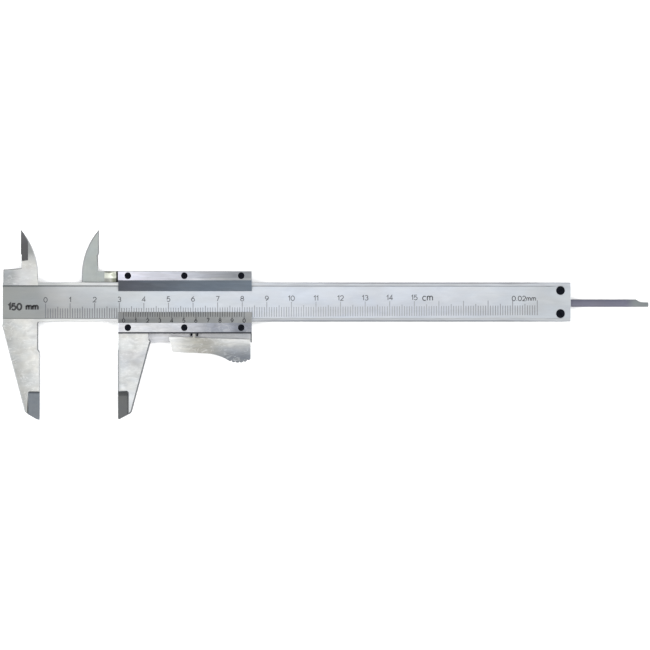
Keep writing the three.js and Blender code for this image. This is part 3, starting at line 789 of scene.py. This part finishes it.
def cut_across(surface, x):
    """Divides the faces that cross x."""
    everything = surface.faces[:] + surface.edges[:] + surface.verts[:]
    bmesh.ops.bisect_plane(
        surface, geom=everything, dist=1e-7, plane_co=at(x, 0, 0), plane_no=(1, 0, 0))


def split_strips(surface):
    """Separates the head, the guide strips and the beam's end, and leans the steps between them."""
    cut_across(surface, STEP_END)
    cut_across(surface, HEAD_END)
    lean_step(surface)


def above_beam(first, second):
    """Whether an edge rises from the beam's upper side or lies above it."""
    return min(first.y, second.y) > HALF_WIDTH - 0.1 and max(first.y, second.y) > HALF_WIDTH + 0.2


def clear_of_hollow(first, second):
    """Leaves the narrow edge below the hollow behind the head as it is."""
    at_foot = near(first.y, HALF_WIDTH, 0.05) and near(second.y, HALF_WIDTH, 0.05)
    lowest, highest = sorted((first.z, second.z))
    return not (at_foot and lowest > HOLLOW_FLOOR and highest < HOLLOW_ROOF)


def beam_outline(first, second):
    """The front edges of the head and the fixed outside jaw."""
    if not (near(first.z, BEAM_FRONT) and near(second.z, BEAM_FRONT)):
        return False
    return above_beam(first, second) or max(first.y, second.y) < -HALF_WIDTH - 0.2


def beam_edge_look(middle):
    """Painted dark shade where the fixed outside jaw stands back from its measuring face."""
    return "edge_dark" if middle.x > RELIEF_LEFT and RELIEF_BOTTOM < middle.y < 0 else "edge"


BEAM_LOOKS = [
    "scale", "step_upper", "step_lower", "strip_upper", "strip_lower", "jaw", "head", "tip", "knife",
    "side", "back", "edge", "edge_dark",
]
finished("beam", "beam", BEAM_LOOKS, beam_zone, width=0.1, wanted=clear_of_hollow,
         outline=(BEAM_OUTLINE, beam_outline, beam_edge_look), reshape=split_strips)

# ---------------------------------------------------------------- the slider

SHELF_TOP = 1.2  # the height of the shelf behind the lever
BLADE_TOP = 2.9  # the height of the moving inside jaw
WALL_TOP = 4.78  # the height of the walls beside the beam, which the rails sit on
WALL_FOOT = -12.9  # the lower wall's outer side
SHELF_FOOT = -16.4  # the shelf's lower edge
SHELF_RIGHT = 54.5
RUNOUT_LEFT = -5.8  # the cutter's runout, right of the inside jaw
WALL_LEFT = -0.7  # the upper wall's end, painted dark as shade, right of the runout
WALL_RIGHT = 0.25
SLANT_LEFT = 3.0  # right of here is the moving outside jaw's slanted side
STEP_BACK = -19.5  # above here the moving jaw stands back from its measuring face
SLIDER_OUTLINE = 0.55


def slider_zone(middle, normal):
    x = middle.x - OPENING
    if middle.y > KNIFE_FOOT and near(x, KNIFE_EDGE, 0.6):
        return "blade"
    if middle.y > HALF_WIDTH and RUNOUT_LEFT < x < WALL_RIGHT and normal.z > SLANTED:
        return "runout" if x < WALL_LEFT else "wall_end"
    if normal.z > SLANTED:
        if near(middle.z, SHELF_TOP):
            return "shelf"
        if middle.y > HALF_WIDTH and near(middle.z, BLADE_TOP):
            return "blade"
        if near(middle.z, BEAM_FRONT) and middle.y < WALL_FOOT:
            return "moving_jaw"
        return "moving_tip" if middle.y < TIP_TOP else "side"
    if normal.z < -FACING:
        return "moving_tip" if middle.y < TIP_TOP and middle.z > SHELF_TOP + 0.05 else "back"
    return "side"


def not_under_rail(first, second):
    """Leaves the walls' tops square where the rails sit on them."""
    return (first.z + second.z) / 2 < WALL_TOP - 0.02


def slider_outline(first, second):
    """The front edges of both moving jaws, and of the shelf's right end."""
    if near(first.z, BEAM_FRONT) and near(second.z, BEAM_FRONT):
        return max(first.y, second.y) < WALL_FOOT
    if near(first.z, SHELF_TOP) and near(second.z, SHELF_TOP):
        return min(first.x, second.x) > OPENING + SHELF_RIGHT - 0.1
    on_blade = near(first.z, BLADE_TOP) and near(second.z, BLADE_TOP)
    left_of_runout = max(first.x, second.x) < OPENING + RUNOUT_LEFT
    return on_blade and left_of_runout and above_beam(first, second)


def slider_edge_look(middle):
    """Painted dark shade along the moving outside jaw's slanted side, and plain where that jaw stands on
    the shelf.
    """
    if middle.y > 0:
        return "edge_grey"
    if middle.x < OPENING + SLANT_LEFT:
        return "edge" if middle.y > STEP_BACK else "edge_grey"
    if near(middle.z, BEAM_FRONT, SLIDER_OUTLINE) and middle.y > SHELF_FOOT:
        return "moving_jaw"
    return "edge_dark"


SLIDER_LOOKS = [
    "shelf", "blade", "runout", "wall_end", "moving_jaw", "moving_tip", "side", "back", "edge",
    "edge_grey", "edge_dark",
]
finished("slider_body", "slider", SLIDER_LOOKS, slider_zone, width=0.1,
         wanted=not_under_rail, outline=(SLIDER_OUTLINE, slider_outline, slider_edge_look))

# ---------------------------------------------------------------- rails, lever and small pieces


def upper_rail_zone(middle, normal):
    if normal.z > LEVEL:
        return "upper_flat"
    return "upper_bevel" if normal.z > FACING else "side"


def vernier_rail_zone(middle, normal):
    if normal.z > LEVEL:
        return "lower_flat"
    if normal.z > FACING:
        return "vernier"
    return "groove" if normal.z > SLANTED and normal.y < 0 else "side"


def lever_zone(middle, normal):
    return "lever" if abs(normal.z) > FACING else "side"


finished("upper_guide_rail", "slider", ["upper_flat", "upper_bevel", "side"],
         upper_rail_zone, width=0.06)
finished("vernier_rail", "slider", ["lower_flat", "vernier", "groove", "side"],
         vernier_rail_zone, width=0.06)
finished("thumb_lever", "lever", ["lever", "side"], lever_zone, width=0.12)
finished("depth_rod", "slider", ["rod"], width=0.1)
finished("end_stop_plate", "beam", ["back"], width=0.15)
finished("gib_strip", "slider", ["bronze"], width=0.04)
finished("lever_pivot_pin", "slider", ["pin"], width=0.08)
finished("lever_spring", "slider", ["black"], width=0)
for side in ("left", "right"):
    finished(f"depth_rod_rivet_{side}", "slider", ["pin"], width=0.08)
    finished(f"gib_screw_{side}", "slider", ["black"], width=0.06)
for level in ("upper", "lower"):
    finished(f"end_stop_screw_{level}", "beam", ["black"], width=0.08)
for row in ("upper", "vernier"):
    for side in ("left", "middle", "right"):
        finished(f"{row}_rail_screw_{side}", "slider", ["black"], width=0.06)

# ---------------------------------------------------------------- marks

MARK_HEIGHT = 0.01  # how far the ink stands above its surface, and goes below it
SHARPEST = 0.4  # keeps a stroke's corner from running out past a sharp turn


def prism_along(surface, points, width, place, closed=False):
    """Adds a thin closed body of one width along a line of points, laid down by place(x, y, height)."""
    count = len(points)
    rows = []
    for index, (x, y) in enumerate(points):
        if closed:
            before, after = points[index - 1], points[(index + 1) % count]
        else:
            before, after = points[max(index - 1, 0)], points[min(index + 1, count - 1)]
        into = Vector((x - before[0], y - before[1]))
        out = Vector((after[0] - x, after[1] - y))
        into = into.normalized() if into.length else out.normalized()
        out = out.normalized() if out.length else into
        bisector = (into + out).normalized()
        across = Vector((-bisector.y, bisector.x))
        reach = across * width / 2 / max(abs(bisector.dot(out)), SHARPEST)
        row = []
        for side, height in ((1, MARK_HEIGHT), (-1, MARK_HEIGHT), (-1, -MARK_HEIGHT), (1, -MARK_HEIGHT)):
            row.append(surface.verts.new(place(x + reach.x * side, y + reach.y * side, height)))
        rows.append(row)
    pairs = zip(rows, rows[1:] + rows[:1]) if closed else zip(rows, rows[1:])
    for first, second in pairs:
        for corner in range(4):
            following = (corner + 1) % 4
            surface.faces.new((first[corner], second[corner], second[following], first[following]))
    if not closed:
        surface.faces.new(rows[0])
        surface.faces.new(reversed(rows[-1]))


def arc(x, y, across, up, start, end, steps=12):
    """Points on an ellipse's arc, in degrees."""
    points = []
    for step in range(steps + 1):
        angle = math.radians(start + (end - start) * step / steps)
        points.append((x + across * math.cos(angle), y + up * math.sin(angle)))
    return points


# Single-stroke characters, one unit tall: their width, their open strokes and their closed loops.
CHARACTERS = {
    "0": (0.70, [], [arc(0.35, 0.5, 0.35, 0.5, 0, 345, 23)]),
    "1": (0.32, [[(0.0, 0.74), (0.28, 1.0), (0.28, 0.0)]], []),
    "2": (0.66, [arc(0.33, 0.68, 0.31, 0.32, 170, -35, 10) + [(0.02, 0.0), (0.66, 0.0)]], []),
    "3": (0.66, [arc(0.32, 0.75, 0.28, 0.25, 150, -80, 10), arc(0.32, 0.27, 0.33, 0.27, 85, -150)], []),
    "4": (0.72, [[(0.52, 0.0), (0.52, 1.0), (0.0, 0.3), (0.72, 0.3)]], []),
    "5": (0.66, [[(0.6, 1.0), (0.12, 1.0), (0.06, 0.54)] + arc(0.32, 0.33, 0.33, 0.33, 125, -150)], []),
    "6": (0.68, [[(0.5, 1.0)] + arc(0.62, 0.33, 0.6, 0.55, 125, 180, 5)],
          [arc(0.34, 0.32, 0.32, 0.32, 0, 342, 19)]),
    "7": (0.64, [[(0.0, 1.0), (0.64, 1.0), (0.24, 0.0)]], []),
    "8": (0.68, [], [arc(0.34, 0.76, 0.27, 0.24, 0, 340, 17), arc(0.34, 0.27, 0.33, 0.27, 0, 340, 17)]),
    "9": (0.68, [[(0.18, 0.0)] + arc(0.06, 0.67, 0.6, 0.55, -55, 0, 5)],
          [arc(0.34, 0.68, 0.32, 0.32, 0, 342, 19)]),
    "c": (0.52, [arc(0.33, 0.33, 0.3, 0.33, 50, 310)], []),
    "m": (0.84, [[(0.0, 0.0), (0.0, 0.66)],
                 [(0.0, 0.42)] + arc(0.2, 0.45, 0.2, 0.21, 170, 0, 8) + [(0.4, 0.0)],
                 [(0.4, 0.42)] + arc(0.61, 0.45, 0.21, 0.21, 170, 0, 8) + [(0.82, 0.0)]], []),
    ".": (0.1, [[(0.05, 0.0), (0.05, 0.12)]], []),
    " ": (0.35, [], []),
}
LETTER_GAP = 0.24  # for letters one unit tall


def text_width(text, height):
    widths = [CHARACTERS[letter][0] for letter in text]
    return (sum(widths) + LETTER_GAP * (len(text) - 1)) * height


def write(surface, text, left, bottom, height, stroke, place):
    """Writes text from its left end, with its strokes laid on a surface by place()."""
    pen = left
    for letter in text:
        width, strokes, loops = CHARACTERS[letter]
        for points, closed in [(line, False) for line in strokes] + [(line, True) for line in loops]:
            moved = [(pen + x * height, bottom + y * height) for x, y in points]
            prism_along(surface, moved, stroke, place, closed)
        pen += (width + LETTER_GAP) * height


def write_centred(surface, text, middle, bottom, height, stroke, place):
    write(surface, text, middle - text_width(text, height) / 2, bottom, height, stroke, place)


MARK_TILT = 0.0065  # how much the scale's engraving rises for each millimetre along the beam


def on_scale(x, y, height):
    """A point above the scale's face, with the engraving's tilt."""
    return at(x, y + MARK_TILT * x, SCALE_FACE + height)


def on_vernier(x, y, height):
    """A point above the vernier's bevel."""
    slope = (RAIL_TOP - RAIL_EDGE_TOP) / (VERNIER_EDGE - VERNIER_BEVEL_END)
    return on_slider(x, y, RAIL_EDGE_TOP + (VERNIER_EDGE - y) * slope + height)


def marks(name, body, look, draw):
    """A piece made of the thin bodies that draw() adds."""
    surface = bmesh.new()
    draw(surface)
    bmesh.ops.recalc_face_normals(surface, faces=surface.faces)
    return as_piece(surface, name, body, [look])


TICK_WIDTH = 0.3
TICK_FOOT = SCALE_BOTTOM + 0.02
TICK_TOPS = {10: -0.6, 5: -1.95, 1: -2.65}  # of every tenth line, every fifth and the others
NUMERAL_BOTTOM = -0.1
NUMERAL_HEIGHT = 1.95
NUMERAL_STROKE = 0.32
LAST_NUMERAL = 15


def tick_kind(index, kinds):
    """The largest of the kinds, such as 10, 5 and 1, that an index is a multiple of."""
    return max(kind for kind in kinds if index % kind == 0)


def draw_scale_ticks(surface):
    for index in range(SCALE_DIVISIONS + 1):
        x = ZERO + index
        top = TICK_TOPS[tick_kind(index, TICK_TOPS)]
        prism_along(surface, [(x, TICK_FOOT), (x, top)], TICK_WIDTH, on_scale)


def draw_scale_numerals(surface):
    for number in range(LAST_NUMERAL + 1):
        x = ZERO + 10 * number
        write_centred(surface, str(number), x, NUMERAL_BOTTOM, NUMERAL_HEIGHT, NUMERAL_STROKE, on_scale)


def draw_units(surface):
    write(surface, "cm", left=155.7, bottom=-0.35, height=2.6, stroke=0.42, place=on_scale)
    write(surface, "0.02mm", left=192.2, bottom=-0.75, height=1.9, stroke=0.32, place=on_scale)


def draw_range_label(surface):
    write(surface, "150 mm", left=-12.7, bottom=-3.05, height=2.45, stroke=0.76, place=on_scale)


VERNIER_TICK_TOP = VERNIER_EDGE - 0.02
VERNIER_TICK_FEET = {5: -6.8, 1: -6.0}  # of every fifth line and the others
VERNIER_TICK_WIDTH = 0.26
VERNIER_NUMERAL_STEP = 5  # divisions
VERNIER_NUMERAL_BOTTOM = -8.25
VERNIER_NUMERAL_HEIGHT = 1.45
VERNIER_NUMERAL_STROKE = 0.32


def draw_vernier_ticks(surface):
    for index in range(VERNIER_DIVISIONS + 1):
        x = ZERO + index * VERNIER_PITCH
        foot = VERNIER_TICK_FEET[tick_kind(index, VERNIER_TICK_FEET)]
        prism_along(surface, [(x, foot), (x, VERNIER_TICK_TOP)], VERNIER_TICK_WIDTH, on_vernier)


def draw_vernier_numerals(surface):
    for number in range(VERNIER_DIVISIONS // VERNIER_NUMERAL_STEP + 1):
        x = ZERO + VERNIER_NUMERAL_STEP * number * VERNIER_PITCH
        write_centred(surface, str(number % 10), x, VERNIER_NUMERAL_BOTTOM, VERNIER_NUMERAL_HEIGHT,
                      VERNIER_NUMERAL_STROKE, on_vernier)


marks("scale_ticks", "beam", "ink", draw_scale_ticks)
marks("scale_numerals", "beam", "numeral_ink", draw_scale_numerals)
marks("scale_units", "beam", "numeral_ink", draw_units)
marks("range_label", "beam", "label", draw_range_label)
marks("vernier_ticks", "slider", "vernier_ink", draw_vernier_ticks)
marks("vernier_numerals", "slider", "vernier_numeral_ink", draw_vernier_numerals)

# ---------------------------------------------------------------- floor, light and camera

FLOOR_REACH = 30.0  # metres
FLOOR_DROP = 0.0002  # how far below the caliper the floor lies, in metres
SKY_LEVELS = [(0.0, 0.95), (0.1, 0.85), (0.42, 0.62), (0.77, 0.48), (0.9, 0.9), (1.0, 0.96)]
SKY_TINT = (0.985, 0.993, 1.0)
LAMP_STRENGTH = 1.6 * LIGHT
LAMP_RISE = 45  # degrees
LAMP_WIDTH = 50  # degrees
VIEW_WIDTH = 264.36  # how much of the caliper's plane the picture shows
VIEW_MIDDLE = (116.07, -9.33)
LENS = 300.0
SENSOR = 36.0


def floor():
    surface = bmesh.new()
    corners = []
    for x, y in ((-1, -1), (1, -1), (1, 1), (-1, 1)):
        corners.append(surface.verts.new((x * FLOOR_REACH, y * FLOOR_REACH, -FLOOR_DROP)))
    surface.faces.new(corners)
    mesh = bpy.data.meshes.new("floor")
    surface.to_mesh(mesh)
    surface.free()
    mesh.materials.append(floor_material())
    made = bpy.data.objects.new("floor", mesh)
    bpy.context.scene.collection.objects.link(made)


def sky():
    """A soft studio: bright overhead, darker half way down, and pale at the horizon."""
    world = bpy.data.worlds.new("studio")
    bpy.context.scene.world = world
    world.use_nodes = True
    nodes = world.node_tree.nodes
    links = world.node_tree.links
    direction = nodes.new("ShaderNodeTexCoord")
    split = nodes.new("ShaderNodeSeparateXYZ")
    ramp = nodes.new("ShaderNodeValToRGB")
    links.new(direction.outputs["Generated"], split.inputs[0])
    links.new(split.outputs["Z"], ramp.inputs["Fac"])
    links.new(ramp.outputs["Color"], nodes["Background"].inputs["Color"])
    nodes["Background"].inputs["Strength"].default_value = LIGHT
    points = ramp.color_ramp.elements
    while len(points) < len(SKY_LEVELS):
        points.new(0.5)
    for point, (height, level) in zip(points, SKY_LEVELS):
        point.position = height
        point.color = [level * share for share in SKY_TINT] + [1.0]


def soft_light(name, azimuth):
    """A wide, far lamp. Azimuth is in degrees, from -Y at 0 and from +X at 90."""
    light = bpy.data.lights.new(name, "SUN")
    light.energy = LAMP_STRENGTH
    light.angle = math.radians(LAMP_WIDTH)
    turn = math.radians(azimuth)
    rise = math.radians(LAMP_RISE)
    level = math.cos(rise)
    towards = Vector((math.sin(turn) * level, -math.cos(turn) * level, math.sin(rise)))
    made = bpy.data.objects.new(name, light)
    made.rotation_euler = towards.to_track_quat("Z", "Y").to_euler()
    bpy.context.scene.collection.objects.link(made)


def camera():
    """Straight above the caliper, as far back as a long lens needs for the whole tool."""
    distance = VIEW_WIDTH * LENS / SENSOR
    data = bpy.data.cameras.new("camera")
    data.lens = LENS
    data.sensor_width = SENSOR
    data.clip_end = 100.0
    made = bpy.data.objects.new("camera", data)
    made.location = at(*VIEW_MIDDLE, BEAM_FRONT + distance)
    bpy.context.scene.collection.objects.link(made)
    bpy.context.scene.camera = made


floor()
sky()
soft_light("soft_left", -90)
soft_light("soft_right", 90)
camera()
bpy.context.scene.view_settings.view_transform = "Standard"
